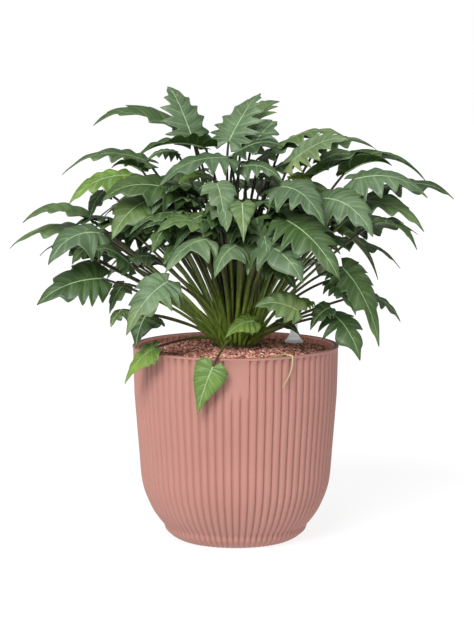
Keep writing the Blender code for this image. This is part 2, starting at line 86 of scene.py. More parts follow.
# --- Leaves ---
# In millimetres: name, blade base and blade tip (x, y, height above the rim), width, arch of the midrib,
# roll of the upper side towards the front in degrees, tone. All rows repeat the CAD source's but leaf_39's,
# which is rolled further (22 degrees there), 2 mm wider and 2 mm lower at its tip.
LEAVES = (
    ("leaf_01", (-61, 5, 295), (-97, 45, 371), 80, 8, 10, "light"),
    ("leaf_02", (-62, 48, 292), (-208, 30, 320), 84, 26, 16, "mid"),
    ("leaf_03", (-44, -22, 285), (-138, -70, 275), 66, 14, -10, "dark"),
    ("leaf_04", (-11, -50, 271), (-108, -112, 237), 78, 16, 14, "light"),
    ("leaf_05", (-10, 10, 291), (36, 62, 359), 90, 8, 5, "light"),
    ("leaf_06", (10, 55, 294), (64, 105, 349), 80, 10, 5, "mid"),
    ("leaf_07", (22, -2, 282), (60, 40, 320), 62, 6, 14, "light"),
    ("leaf_08", (0, -24, 277), (68, -46, 287), 58, 12, 20, "dark"),
    ("leaf_09", (70, 12, 292), (160, -5, 299), 68, 14, 8, "mid"),
    ("leaf_10", (78, -40, 265), (158, -65, 299), 82, 12, 34, "light"),
    ("leaf_11", (122, 30, 287), (206, 25, 279), 64, 14, 12, "mid"),
    ("leaf_12", (110, -10, 245), (276, 5, 243), 92, 30, 0, "mid"),
    ("leaf_13", (154, -26, 248), (222, -26, 260), 54, 12, -14, "dark"),
    ("leaf_14", (166, -60, 242), (270, -80, 219), 84, 18, 26, "light"),
    ("leaf_15", (212, 0, 227), (314, -5, 213), 64, 14, 14, "dark"),
    ("leaf_16", (160, -20, 206), (268, -60, 171), 78, 20, 20, "mid"),
    ("leaf_17", (197, -30, 178), (256, -62, 143), 64, 18, -6, "mid"),
    ("leaf_18", (120, -85, 217), (190, -146, 171), 92, 18, 34, "light"),
    ("leaf_19", (62, -110, 235), (122, -168, 187), 92, 18, 22, "light"),
    ("leaf_20", (70, -125, 190), (142, -185, 115), 98, 14, 24, "mid"),
    ("leaf_21", (42, -140, 157), (92, -195, 111), 78, 12, 20, "light"),
    ("leaf_22", (2, -148, 157), (-30, -185, 117), 60, 12, 10, "light"),
    ("leaf_23", (-38, -140, 165), (-96, -180, 123), 78, 14, 14, "light"),
    ("leaf_24", (-26, -105, 239), (-14, -155, 181), 56, 14, 0, "light"),
    ("leaf_25", (9, -138, 215), (11, -178, 163), 40, 12, 0, "mid"),
    ("leaf_26", (-80, -70, 225), (-188, -105, 217), 86, 18, 30, "dark"),
    ("leaf_27", (-120, -70, 213), (-172, -112, 163), 82, 14, 26, "mid"),
    ("leaf_28", (-150, -20, 245), (-236, -50, 209), 66, 14, 26, "young"),
    ("leaf_29", (-188, 0, 221), (-209, -22, 183), 46, 8, 0, "dark"),
    ("leaf_30", (-208, 5, 180), (-304, -20, 178), 56, 18, 16, "mid"),
    ("leaf_31", (-200, 22, 159), (-328, 12, 141), 74, 20, 16, "mid"),
    ("leaf_32", (-188, -55, 165), (-264, -95, 127), 88, 20, 34, "light"),
    ("leaf_33", (-188, -50, 101), (-280, -75, 67), 82, 12, 44, "dark"),
    ("leaf_34", (-146, -82, 123), (-194, -114, 149), 66, 10, 30, "dark"),
    ("leaf_35", (-92, -140, 107), (-150, -185, 39), 80, 14, 26, "light"),
    ("leaf_36", (-124, -95, 55), (-140, -122, 11), 62, 10, 10, "dark"),
    ("leaf_39", (27, -61, 42), (-16, -77, 19), 42, 8, 40, "young"),
    ("leaf_40", (88, -118, 63), (26, -124, 69), 50, 10, 60, "mid"),
    ("leaf_41", (60, -44, 37), (92, -66, 21), 28, 6, 20, "dark"),
    ("leaf_42", (140, -60, 49), (176, -95, -9), 76, 12, 20, "dark"),
    ("leaf_43", (150, -50, 117), (206, -82, 9), 78, 20, 26, "mid"),
    ("leaf_44", (146, 22, 163), (208, 14, 93), 50, 16, -10, "mid"),
    ("leaf_45", (186, 30, 69), (240, 20, 31), 52, 12, 10, "dark"),
    ("leaf_46", (-60, 120, 239), (-120, 190, 189), 92, 16, 0, "mid"),
    ("leaf_47", (40, 130, 229), (70, 215, 174), 94, 16, 0, "light"),
    ("leaf_48", (120, 110, 199), (200, 170, 159), 90, 16, 0, "mid"),
    ("leaf_49", (-120, 120, 169), (-210, 165, 114), 88, 16, 0, "dark"),
    ("leaf_50", (-20, 150, 139), (-40, 240, 79), 92, 16, 0, "mid"),
    ("leaf_51", (110, 140, 109), (165, 215, 49), 86, 16, 0, "dark"),
)

# Leaves that hang over the rim: the same, but base and tip are degrees round the pot from its front,
# millimetres outside the rim and height above it
RIM_LEAVES = (
    ("leaf_37", (-46, 8, 10), (-57, 38, -42), 48, 10, 0, "young"),
    ("leaf_38", (-11, 14, -9), (-19, 16, -77), 50, 6, 0, "young"),
)

# How some leaves differ from the common run: lobes on each side, how sharp and how deep they are cut,
# how far the halves fold up from the midrib, and how far their edges droop
HABIT = {
    "leaf_01": (6, 0.90, 0.95, 0.10, 0.20), "leaf_02": (5, 0.70, 0.90, 0.35, 0.15),
    "leaf_03": (5, 0.40, 0.60, 0.42, 0.10), "leaf_04": (5, 0.45, 0.90, 0.10, 0.40),
    "leaf_05": (7, 0.95, 1.00, 0.16, 0.15), "leaf_06": (6, 0.90, 1.00, 0.40, 0.20),
    "leaf_07": (5, 0.60, 0.80, 0.20, 0.30), "leaf_10": (6, 0.70, 1.00, 0.20, 0.35),
    "leaf_12": (4, 0.30, 0.70, 0.42, 0.20), "leaf_13": (4, 0.30, 0.50, 0.60, 0.15),
    "leaf_14": (5, 0.35, 0.90, 0.05, 0.45), "leaf_16": (5, 0.40, 0.80, 0.25, 0.40),
    "leaf_17": (5, 0.40, 0.80, 0.40, 0.20), "leaf_18": (5, 0.40, 1.00, 0.10, 0.45),
    "leaf_19": (5, 0.35, 0.90, 0.10, 0.45), "leaf_20": (5, 0.45, 1.05, 0.12, 0.30),
    "leaf_21": (3, 0.15, 0.90, 0.10, 0.60), "leaf_22": (3, 0.10, 0.60, 0.05, 0.70),
    "leaf_23": (3, 0.15, 0.80, 0.10, 0.70), "leaf_26": (5, 0.40, 0.55, 0.15, 0.45),
    "leaf_27": (5, 0.40, 0.60, 0.15, 0.40), "leaf_28": (5, 0.50, 0.70, 0.15, 0.50),
    "leaf_30": (4, 0.40, 0.80, 0.40, 0.25), "leaf_31": (4, 0.30, 0.80, 0.15, 0.55),
    "leaf_32": (3, 0.20, 0.90, 0.10, 0.70), "leaf_33": (5, 0.40, 0.70, 0.12, 0.35),
    "leaf_35": (5, 0.40, 0.90, 0.12, 0.40), "leaf_42": (3, 0.20, 1.10, 0.10, 0.55),
    "leaf_43": (5, 0.50, 0.80, 0.15, 0.35), "leaf_44": (4, 0.30, 0.60, 0.60, 0.20),
    "upper_left": (5, 0.50, 0.80, 0.20, 0.35), "upper_left_under": (4, 0.40, 0.60, 0.60, 0.20),
}

# Smaller leaves that fill the crown; they have no solid of their own
FILLER_LEAVES = (
    ("upper_left", (-128, 30, 262), (-250, 10, 244), 62, 24, 16, "mid"),
    ("upper_left_under", (-134, 10, 250), (-178, -5, 256), 40, 8, -8, "dark"),
    ("upper_left_back", (-85, 0, 277), (-128, -12, 265), 44, 8, 16, "mid"),
    ("yellow_top", (-32, -20, 240), (-84, -45, 232), 44, 10, 24, "young"),
    ("pale_top", (80, -20, 245), (112, -35, 232), 26, 6, 24, "young"),
    ("top_gap", (36, 14, 266), (94, -4, 284), 54, 10, 24, "mid"),
    ("top_gap_dark", (50, 0, 250), (104, -14, 258), 52, 10, 20, "dark"),
    ("right_high", (118, -6, 262), (172, -24, 270), 50, 10, 30, "mid"),
    ("top_middle", (9, -40, 259), (68, -70, 238), 54, 12, 30, "light"),
    ("top_middle_under", (34, -24, 248), (66, -42, 230), 44, 8, 10, "dark"),
    ("left_gap", (-208, -5, 141), (-234, -20, 118), 38, 6, 20, "mid"),
    ("left_low", (-158, -20, 90), (-180, -42, 50), 40, 8, 12, "mid"),
    ("left_low_small", (-160, -30, 54), (-178, -50, 32), 34, 6, 12, "mid"),
    ("left_curled", (-119, -30, 130), (-166, -45, 112), 36, 10, 30, "light"),
    ("right_gap_dark", (135, -60, 100), (170, -85, 54), 54, 10, 20, "dark"),
    ("right_gap_mid", (133, -70, 62), (104, -92, 33), 38, 8, 30, "mid"),
    ("right_gap_young", (104, -60, 70), (84, -86, 50), 30, 6, 30, "young"),
    ("middle_dark", (48, -110, 127), (84, -142, 94), 54, 10, 20, "dark"),
)

# Leaves with a whole, heart-shaped blade; all the others are feather-cut
HEARTS = {
    "leaf_25", "leaf_36", "leaf_39", "leaf_41", "leaf_37", "leaf_38", "pale_top",
}

# A leaf of the tables, with its base and tip in metres
Leaf = namedtuple("Leaf", "name base tip width arch roll tone over_rim")


# --- Meshes and node helpers ---
def solid(name, points, faces, finishes, slots=None, floats=None):
    """A mesh object at the origin from point and face arrays, with its finishes and point attributes."""
    mesh = bpy.data.meshes.new(name)
    mesh.from_pydata(np.asarray(points).tolist(), [], [tuple(face) for face in faces])
    for finish in finishes:
        mesh.materials.append(finish)
    if slots is not None:
        mesh.polygons.foreach_set("material_index", np.asarray(slots, dtype=np.int32))
    mesh.polygons.foreach_set("use_smooth", [True] * len(mesh.polygons))
    for key, values in (floats or {}).items():
        attribute = mesh.attributes.new(key, "FLOAT", "POINT")
        attribute.data.foreach_set("value", np.asarray(values, dtype=np.float32))
    mesh.update()
    made = bpy.data.objects.new(name, mesh)
    bpy.context.scene.collection.objects.link(made)
    return made


def quads(*corners):
    """Four-cornered faces from four arrays of point numbers."""
    return np.stack([corner.ravel() for corner in corners], axis=1).tolist()


def add(tree, kind, inputs=None, **settings):
    """A node with its settings made and its inputs set or linked."""
    made = tree.nodes.new(kind)
    for key, value in settings.items():
        setattr(made, key, value)
    for key, value in (inputs or {}).items():
        if isinstance(value, bpy.types.NodeSocket):
            tree.links.new(value, made.inputs[key])
        else:
            made.inputs[key].default_value = value
    return made


def maths(tree, operation, *values):
    """The result of a Math node; from the third value on, each is taken in by a further node."""
    made = add(tree, "ShaderNodeMath", dict(enumerate(values[:2])), operation=operation).outputs[0]
    return maths(tree, operation, made, *values[2:]) if len(values) > 2 else made


def plus(tree, *values):
    return maths(tree, "ADD", *values)


def minus(tree, first, second):
    return maths(tree, "SUBTRACT", first, second)


def times(tree, *values):
    return maths(tree, "MULTIPLY", *values)


def vector(tree, operation, first, second=(0.0, 0.0, 0.0), result=0):
    """The result of a Vector Math node: 0 for its vector, 1 for its number."""
    return add(tree, "ShaderNodeVectorMath", {0: first, 1: second}, operation=operation).outputs[result]


def ramp(tree, factor, *stops):
    """A colour ramp through (place, colour) stops."""
    made = add(tree, "ShaderNodeValToRGB", {"Fac": factor})
    band = made.color_ramp
    while len(band.elements) < len(stops):
        band.elements.new(1.0)
    for element, (place, color) in zip(band.elements, stops):
        element.position = place
        element.color = (*color, 1.0)
    return made.outputs["Color"]


def span(tree, value, low, high, start=0.0, end=1.0, kind="SMOOTHSTEP"):
    """Map a value from low..high to start..end, clamped."""
    inputs = {"Value": value, "From Min": low, "From Max": high, "To Min": start, "To Max": end}
    return add(tree, "ShaderNodeMapRange", inputs, interpolation_type=kind).outputs["Result"]


def blend(tree, factor, first, second, kind="MIX"):
    """Mix two colours."""
    first, second = ((*color, 1.0) if isinstance(color, tuple) else color for color in (first, second))
    inputs = {0: factor, 6: first, 7: second}
    return add(tree, "ShaderNodeMix", inputs, data_type="RGBA", blend_type=kind).outputs[2]


def own(tree, name):
    """A point attribute of the piece."""
    return add(tree, "ShaderNodeAttribute", attribute_name=name).outputs["Fac"]


def noise(tree, scale, detail=3.0, stretch=None):
    """Noise on Object coordinates, optionally stretched."""
    place = add(tree, "ShaderNodeTexCoord").outputs["Object"]
    if stretch:
        place = add(tree, "ShaderNodeMapping", {"Vector": place, "Scale": stretch}).outputs["Vector"]
    inputs = {"Vector": place, "Scale": scale, "Detail": detail, "Roughness": 0.55}
    return add(tree, "ShaderNodeTexNoise", inputs).outputs["Fac"]


def whereabouts(tree):
    """A point's distance from the upright axis and its height, in metres."""
    place = add(tree, "ShaderNodeTexCoord").outputs["Object"]
    away = vector(tree, "LENGTH", vector(tree, "MULTIPLY", place, (1.0, 1.0, 0.0)), result=1)
    return away, add(tree, "ShaderNodeSeparateXYZ", {"Vector": place}).outputs["Z"]


def new_finish(name, **constants):
    """A material with a Principled shader whose constant values sit on its own sockets."""
    made = bpy.data.materials.new(name)
    made.use_nodes = True
    shader = made.node_tree.nodes["Principled BSDF"]
    for key, value in constants.items():
        shader.inputs[key.replace("_", " ")].default_value = value
    return made, made.node_tree, shader


def drive(tree, shader, color, roughness=None, height=None, bump=0.0, strength=1.0):
    """Link colour, roughness and bump height into a shader."""
    tree.links.new(color, shader.inputs["Base Color"])
    if roughness is not None:
        tree.links.new(roughness, shader.inputs["Roughness"])
    if height is not None:
        relief = add(tree, "ShaderNodeBump", {"Height": height, "Distance": bump, "Strength": strength})
        tree.links.new(relief.outputs["Normal"], shader.inputs["Normal"])


# --- Finishes ---
def leaf_top_finish(name, deep, plain, pale, vein, shine):
    """Upper side of a blade: pale side veins that run out into the lobes, a mottled ground and a pale edge."""
    made, tree, shader = new_finish(name, Specular_IOR_Level=0.5)
    patchy = noise(tree, 28.0, 4.0)
    fine = noise(tree, 260.0)
    tone = own(tree, "tone")
    reach = own(tree, "reach")
    row = own(tree, "vein")
    mixed = plus(tree, times(tree, patchy, 0.75), times(tree, tone, 0.5), times(tree, fine, 0.12))
    ground = ramp(tree, mixed, (0.36, deep), (0.56, plain), (0.82, pale))
    warm = span(tree, plus(tree, noise(tree, 11.0, 2.0), times(tree, tone, 0.45)), 0.50, 0.88, 0.0, 0.60)
    ground = blend(tree, warm, ground, (1.40, 1.12, 0.55), "MULTIPLY")
    off_vein = maths(tree, "PINGPONG", row, 0.5)
    fade = span(tree, reach, 0.25, 1.0, 1.0, 0.25)
    side_vein = times(tree, span(tree, off_vein, 0.0, 0.050, 1.0, 0.0), fade, 0.36)
    halo = times(tree, span(tree, off_vein, 0.0, 0.22, 0.12, 0.0), fade)
    twig = span(tree, maths(tree, "PINGPONG", times(tree, row, 3.0), 0.5), 0.0, 0.15, 0.15, 0.0)
    midrib = span(tree, reach, 0.0, 0.055, 0.70, 0.0)
    edge = span(tree, reach, 0.955, 1.0, 0.0, 0.30)
    lines = maths(tree, "MAXIMUM", side_vein, halo, twig, midrib, edge)
    height = plus(tree, span(tree, off_vein, 0.0, 0.5), times(tree, fine, 0.25))
    height = minus(tree, height, times(tree, twig, 0.8))
    roughness = span(tree, patchy, 0.3, 0.7, shine, shine + 0.12)
    drive(tree, shader, blend(tree, lines, ground, vein), roughness, height, 0.0008, 0.70)
    return made


def leaf_under_finish(name, deep, plain, vein):
    """Under side of a blade: flatter, yellower and with raised veins."""
    made, tree, shader = new_finish(name, Roughness=0.55)
    ground = ramp(tree, noise(tree, 34.0), (0.35, deep), (0.7, plain))
    side_vein = span(tree, maths(tree, "PINGPONG", own(tree, "vein"), 0.5), 0.0, 0.085, 0.7, 0.0)
    drive(tree, shader, blend(tree, side_vein, ground, vein), None, side_vein, 0.0008, 0.8)
    return made


def stalk_finish():
    """Petiole: green at the foot, browner and darker towards the blade, with fine streaks along it, and
    dark deep inside the bundle, where little light comes."""
    made, tree, shader = new_finish("petiole", Roughness=0.42)
    streak = noise(tree, 60.0, stretch=(6.0, 6.0, 0.35))
    place = plus(tree, own(tree, "climb"), times(tree, minus(tree, streak, 0.5), 0.7),
                 times(tree, own(tree, "tone"), 0.50))
    color = ramp(tree, place, (0.15, (0.240, 0.350, 0.050)), (0.50, (0.092, 0.124, 0.024)),
                 (0.85, (0.040, 0.025, 0.016)))
    away, level = whereabouts(tree)
    rise = times(tree, minus(tree, level, CROWN_TOP), 0.20)
    inside = span(tree, minus(tree, away, rise), 0.008, 0.026, 0.80, 0.0)
    color = blend(tree, inside, color, (0.010, 0.014, 0.005))
    drive(tree, shader, color, None, streak, 0.0004, 0.6)
    return made


def mottled_finish(name, roughness, mottle, low, high, relief=None, bump=0.0):
    """Two (place, colour) stops that run into each other; mottle and relief say which noise."""
    made, tree, shader = new_finish(name, Roughness=roughness)
    color = ramp(tree, noise(tree, *mottle), low, high)
    drive(tree, shader, color, None, noise(tree, *relief) if relief else None, bump)
    return made


def pot_finish():
    """Matte pink plastic with a very fine moulded grain and faint uneven tone; the top of the inner wall
    is lighter and glows faintly, for the light thrown back and forth between the walls."""
    made, tree, shader = new_finish("pink_moulding", Specular_IOR_Level=0.35,
                                    Emission_Color=(0.80, 0.36, 0.30, 1.0))
    broad = noise(tree, 7.0, 2.0)
    grain = noise(tree, 900.0, 2.0)
    color = ramp(tree, broad, (0.30, (0.385, 0.178, 0.146)), (0.70, (0.420, 0.200, 0.166)))
    color = blend(tree, span(tree, grain, 0.55, 0.75, 0.0, 0.10), color, (0.50, 0.25, 0.21))
    away, level = whereabouts(tree)
    inner = RIM_RADIUS - WALL
    lit = times(tree, span(tree, away, inner, inner + 0.0015, 1.0, 0.0),
                span(tree, level, POT_HEIGHT - 0.06, POT_HEIGHT - 0.04))
    color = blend(tree, lit, color, (0.80, 0.42, 0.35))
    tree.links.new(times(tree, lit, 0.12), shader.inputs["Emission Strength"])
    drive(tree, shader, color, span(tree, broad, 0.3, 0.7, 0.50, 0.58), grain, 0.00015, 0.5)
    return made


def clay_finish():
    """Fired clay grains, each with its own shade."""
    made, tree, shader = new_finish("fired_clay", Roughness=0.85)
    color = ramp(tree, own(tree, "tint"), (0.05, (0.150, 0.050, 0.037)), (0.30, (0.430, 0.155, 0.115)),
                 (0.62, (0.720, 0.300, 0.225)), (0.95, (0.880, 0.560, 0.440)))
    grit = noise(tree, 700.0)
    color = blend(tree, span(tree, grit, 0.50, 0.70, 0.0, 0.35), color, (0.176, 0.068, 0.047))
    drive(tree, shader, color, None, grit, 0.0006, 0.9)
    return made


def pale_root_finish():
    """The hanging root: palest in the middle of its length."""
    made, tree, shader = new_finish("pale_root", Roughness=0.6)
    color = ramp(tree, own(tree, "climb"), (0.0, (0.24, 0.22, 0.08)), (0.45, (0.46, 0.44, 0.24)),
                 (1.0, (0.34, 0.32, 0.15)))
    drive(tree, shader, color, None, noise(tree, 300.0), 0.0003, 0.6)
    return made


def clear_finish():
    """Clear moulded plastic of the level indicator: painted shade at its foot, where it stands in the grains,
    pale painted highlight bands above it, and a faint painted glow for the light that it leads up."""
    made, tree, shader = new_finish("clear_plastic", IOR=1.46, Transmission_Weight=0.15,
                                    Emission_Color=WHITE, Emission_Strength=0.15)
    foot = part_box("indicator_collar")[0].z
    # Painted shade in the lowest millimetres, where it stands in the grains; pale painted highlight bands above
    climb = span(tree, whereabouts(tree)[1], foot, foot + 0.016)
    color = ramp(tree, climb, (0.08, (0.10, 0.11, 0.13)), (0.20, (0.55, 0.58, 0.62)), (0.34, (0.95, 0.96, 0.98)),
                 (0.62, (0.78, 0.80, 0.83)), (0.80, (0.95, 0.96, 0.97)))
    drive(tree, shader, color, span(tree, noise(tree, 60.0, 2.0), 0.3, 0.7, 0.05, 0.16))
    return made


# For each tone of leaf: deep, plain, pale and vein colour and shine above; deep, plain and vein colour below.
# Light, mid and dark are lit and shaded copies of one green, painted light and shade chosen leaf by leaf;
# young is a yellower green.
TONES = {
    "light": ((0.058, 0.108, 0.046), (0.105, 0.172, 0.084), (0.225, 0.325, 0.172), (0.40, 0.50, 0.27), 0.43,
              (0.050, 0.105, 0.016), (0.100, 0.180, 0.032), (0.24, 0.34, 0.10)),
    "mid": ((0.038, 0.083, 0.020), (0.078, 0.140, 0.041), (0.155, 0.240, 0.088), (0.30, 0.41, 0.19), 0.42,
            (0.030, 0.072, 0.009), (0.066, 0.132, 0.018), (0.17, 0.26, 0.06)),
    "dark": ((0.016, 0.044, 0.010), (0.038, 0.082, 0.020), (0.080, 0.142, 0.052), (0.22, 0.33, 0.13), 0.40,
             (0.014, 0.040, 0.006), (0.036, 0.082, 0.012), (0.12, 0.20, 0.04)),
    "young": ((0.085, 0.165, 0.024), (0.158, 0.272, 0.042), (0.310, 0.420, 0.085), (0.46, 0.58, 0.20), 0.40,
              (0.100, 0.200, 0.020), (0.200, 0.340, 0.045), (0.36, 0.48, 0.13)),
}
LEAF_TOPS = {tone: leaf_top_finish("leaf_" + tone, *looks[:5]) for tone, looks in TONES.items()}
LEAF_UNDER = {tone: leaf_under_finish("leaf_%s_under" % tone, *looks[5:]) for tone, looks in TONES.items()}
STALK = stalk_finish()
RIB = mottled_finish("midrib", 0.45, (60.0,), (0.3, (0.22, 0.33, 0.16)), (0.7, (0.36, 0.47, 0.26)))
POT_PINK = pot_finish()
CLAY = clay_finish()
CLAY_BED = mottled_finish("clay_bed", 0.95, (320.0,), (0.35, (0.054, 0.019, 0.014)),
                          (0.70, (0.270, 0.095, 0.065)), (420.0,), 0.002)
ROOT_STREAKS = (90.0, 4.0, (1.0, 1.0, 0.2))
BROWN_ROOT = mottled_finish("brown_root", 0.9, ROOT_STREAKS, (0.3, (0.06, 0.04, 0.02)),
                            (0.7, (0.20, 0.13, 0.07)), ROOT_STREAKS, 0.001)
PALE_ROOT = pale_root_finish()
CLEAR = clear_finish()
FLOAT_RED = mottled_finish("float_red", 0.4, (200.0,), (0.3, (0.16, 0.015, 0.02)), (0.7, (0.24, 0.03, 0.03)))


# --- Leaves ---
def unit(vector):
    return vector / np.maximum(np.linalg.norm(vector, axis=-1, keepdims=True), 1e-12)


def bezier(curve, t):
    """Points of a cubic curve at an array of places; past its ends it runs straight on."""
    t = np.asarray(t, dtype=float)[..., None]
    inside = np.clip(t, 0.0, 1.0)
    s = 1.0 - inside
    a, b, c, d = curve
    points = a * s ** 3 + 3 * b * s * s * inside + 3 * c * s * inside ** 2 + d * inside ** 3
    return points + 3 * (d - c) * np.maximum(t - 1.0, 0.0) + 3 * (b - a) * np.minimum(t, 0.0)


def slope(curve, t):
    """Directions of a cubic curve at an array of places."""
    t = np.clip(np.asarray(t, dtype=float), 0.0, 1.0)[..., None]
    s = 1.0 - t
    a, b, c, d = curve
    return unit((b - a) * s * s + 2 * (c - b) * s * t + (d - c) * t * t)


def round_the_pot(turn, outside, height):
    """A point in metres from degrees round the pot, millimetres outside its rim and height above it."""
    away = RIM_RADIUS + outside * MM
    angle = math.radians(turn)
    return np.array((away * math.sin(angle), -away * math.cos(angle), POT_HEIGHT + height * MM))


def all_leaves(rows, rim_rows=()):
    """Every leaf with its base and tip in metres, and whether it hangs over the rim."""
    leaves = []
    for name, base, tip, *rest in rows:
        ends = [np.array(point) * MM + UP * POT_HEIGHT for point in (base, tip)]
        leaves.append(Leaf(name, *ends, *rest, False))
    for name, base, tip, *rest in rim_rows:
        leaves.append(Leaf(name, round_the_pot(*base), round_the_pot(*tip), *rest, True))
    return leaves


SLOT_TOP = CROWN_TOP + 0.0003


def crown_slots(leaves):
    """Where each petiole stands on the crown: below its own blade, upright leaves nearest the middle."""
    def lean(leaf):
        x, y, z = leaf.base
        return math.hypot(x, y) / (z - CROWN_TOP + 0.040)

    order = sorted(leaves, key=lean)
    spread = CROWN_RADIUS - PETIOLE_FOOT - 0.001
    feet = []
    for rank, leaf in enumerate(order):
        feet.append(Vector(leaf.base[:2]).normalized() * (spread * math.sqrt(rank / len(order))))
    for _ in range(SLOT_ROUNDS):
        for i, foot in enumerate(feet):
            for other in feet[:i]:
                between = foot - other
                short = SLOT_PITCH - between.length
                if short > 0.0:
                    push = between.normalized() * (0.5 * short)
                    foot += push
                    other -= push
            if foot.length > spread:
                foot *= spread / foot.length
    return {leaf.name: np.array((*foot, SLOT_TOP)) for leaf, foot in zip(order, feet)}


def leaf_curves(leaf, slot):
    """Petiole and midrib curves, and the direction across the blade at its base."""
    base, tip = leaf.base, leaf.tip
    chord = tip - base
    lift = UP * (leaf.arch * MM)
    midrib = (base, base + chord / 3 + lift, base + chord * (2 / 3) + lift * 1.3, tip)
    heading = unit((base if leaf.over_rim else chord) * (1, 1, 0))
    lateral = np.array((heading[1], -heading[0], 0.0))
    roll = -leaf.roll if lateral[1] > 0.0 else leaf.roll
    along = slope(midrib, 0.0)
    turn = Matrix.Rotation(math.radians(roll), 3, Vector(along))
    lateral = np.array(turn @ Vector(lateral))
    reach = np.linalg.norm(base - slot)
    bend = 0.7 if leaf.over_rim else 0.4
    arrive = unit(unit(base - slot) * (1.0 - bend) + along * bend)
    rise = 0.15 * reach + 0.25 * (base[2] - slot[2])
    splay = 0.0 if leaf.over_rim else SPLAY
    start = UP * (1.0 - splay) + unit(base - slot) * splay
    petiole = (slot, slot + start * rise, base - arrive * min(0.28 * reach, BEND_LENGTH), base)
    return petiole, midrib, lateral


# Outline of a blade: margin position along the leaf against half width, how deep a lobe may be cut there,
# and the midrib place its vein leaves from
FEATHER_MARGIN = (-0.14, -0.10, -0.04, 0.05, 0.15, 0.27, 0.40, 0.52, 0.65, 0.78, 0.86, 0.93, 1.00)
FEATHER_HALF = (0.28, 0.57, 0.85, 1.02, 1.10, 1.12, 1.05, 0.91, 0.69, 0.43, 0.26, 0.12, 0.012)
FEATHER_CUT = (0.00, 0.12, 0.30, 0.42, 0.46, 0.48, 0.48, 0.48, 0.48, 0.44, 0.28, 0.08, 0.00)
HEART_MARGIN = (-0.18, -0.14, -0.07, 0.02, 0.12, 0.22, 0.36, 0.50, 0.65, 0.80, 0.90, 1.00)
HEART_HALF = (0.28, 0.56, 0.82, 0.96, 1.00, 0.98, 0.88, 0.70, 0.48, 0.25, 0.12, 0.010)
HEART_CUT = 0.04
HEART_LOBES = 5
VEIN_MARGIN = (-0.18, -0.06, 0.06, 0.19, 0.35, 0.50, 0.655, 0.79, 0.895, 0.96, 1.00)
VEIN_ROOT = (0.00, 0.03, 0.06, 0.10, 0.18, 0.30, 0.45, 0.60, 0.75, 0.88, 1.00)
LOBE_TIP = 0.66
DROOP_SHARE = 0.55
EDGE_CURL = 0.16
HOOK_START = 0.72
HOOK_DEPTH = 6.0


def tip_hook(hook, place):
    """How far the last part of a midrib drops below its curve."""
    return HOOK_DEPTH * hook * np.maximum(place - HOOK_START, 0.0) ** 1.5


def blade(leaf, midrib, lateral, dice, hook, steps_per_lobe, side_columns):
    """Both sides of a blade as points, faces, slots and point attributes."""
    heart = leaf.name in HEARTS
    half = (0.5 if heart else 0.46) * leaf.width * MM
    lobes, sharp, deep, fold, droop = HABIT.get(leaf.name, (
        int(dice.integers(4, 6)), dice.uniform(0.15, 0.65), dice.uniform(0.55, 1.0),
        dice.uniform(0.05, 0.28), dice.uniform(0.30, 0.70)))
    lobes = HEART_LOBES if heart else lobes
    droop = DROOP_SHARE * droop
    stations = lobes * steps_per_lobe + 4
    places, halves = (HEART_MARGIN, HEART_HALF) if heart else (FEATHER_MARGIN, FEATHER_HALF)
    margin = np.linspace(places[0], 1.0, stations)
    wide = np.interp(margin, places, halves)
    cut = HEART_CUT if heart else np.interp(margin, FEATHER_MARGIN, FEATHER_CUT) * deep
    root = np.interp(margin, VEIN_MARGIN, VEIN_ROOT)
    ripple = dice.uniform(0.04, 0.10) * (0.4 if heart else 1.0)
    twist = dice.uniform(-0.30, 0.30)
    depths = dice.uniform(0.65, 1.30, (2, lobes + 4))
    length = np.linalg.norm(midrib[3] - midrib[0])
    grid_rows, veins, reaches = [], [], []
    for column in np.arange(-side_columns, side_columns + 1) / side_columns:
        side = np.sign(column)
        shift = 0.30 if column > 0 else 0.0
        wobble = 0.18 * np.sin(7.0 * margin + 4.0 * side + 40.0 * droop)
        phase = lobes * (margin + 0.14) / 1.14 + shift + wobble
        part = phase - np.floor(phase)
        share = np.where(part < LOBE_TIP, 1.0 - part / LOBE_TIP, (part - LOBE_TIP) / (1.0 - LOBE_TIP))
        number = np.floor(phase).astype(int) + (part > LOBE_TIP) + 1
        uneven = depths[0 if side < 0 else 1][np.clip(number, 0, lobes + 3)]
        lobe = 1.0 - cut * uneven * (sharp * np.sin(0.5 * math.pi * share) + (1.0 - sharp) * share ** 1.8)
        out = abs(column)
        away = half * wide * lobe * out
        spot = root + (margin - root) * out ** 1.15 * lobe ** 0.8
        along = slope(midrib, spot)
        across = unit(lateral - along * (along @ lateral)[:, None])
        normal = np.cross(across, along)
        share_out = away / half
        height = half * (fold * share_out - droop * share_out ** 2)
        height = height + half * ripple * share_out ** 1.5 * np.sin(math.tau * phase + 1.3)
        height = height + side * away * np.tan(twist * (margin - 0.4))
        height = height - half * EDGE_CURL * out ** 3 * (1.0 - share) * share_out
        height = height - tip_hook(hook * length, spot)
        squeeze = 1.0 / np.sqrt(1.0 + (droop * share_out) ** 2)
        sideways = across * (side * away * squeeze)[:, None]
        grid_rows.append(bezier(midrib, spot) + sideways + normal * height[:, None])
        veins.append(phase - LOBE_TIP)
        reaches.append(np.full(stations, out))
    grid = np.stack(grid_rows, axis=1)
    normals = unit(np.cross(np.gradient(grid, axis=1), np.gradient(grid, axis=0)))
    points = np.concatenate((grid.reshape(-1, 3), (grid - normals * BLADE_THICK).reshape(-1, 3)))
    count = len(points) // 2
    index = np.arange(count).reshape(stations, -1)
    a, b, c, d = index[:-1, :-1], index[:-1, 1:], index[1:, 1:], index[1:, :-1]
    loop = np.concatenate((index[0, :], index[1:, -1], index[-1, -2::-1], index[-2:0:-1, 0]))
    after = np.roll(loop, -1)
    top = quads(a, b, c, d)
    rest = quads(d + count, c + count, b + count, a + count) + quads(after, loop, loop + count, after + count)
    floats = {"vein": np.tile(np.stack(veins, axis=1).ravel(), 2),
              "reach": np.tile(np.stack(reaches, axis=1).ravel(), 2), "climb": np.ones(len(points))}
    return points, top + rest, [0] * len(top) + [1] * len(rest), floats


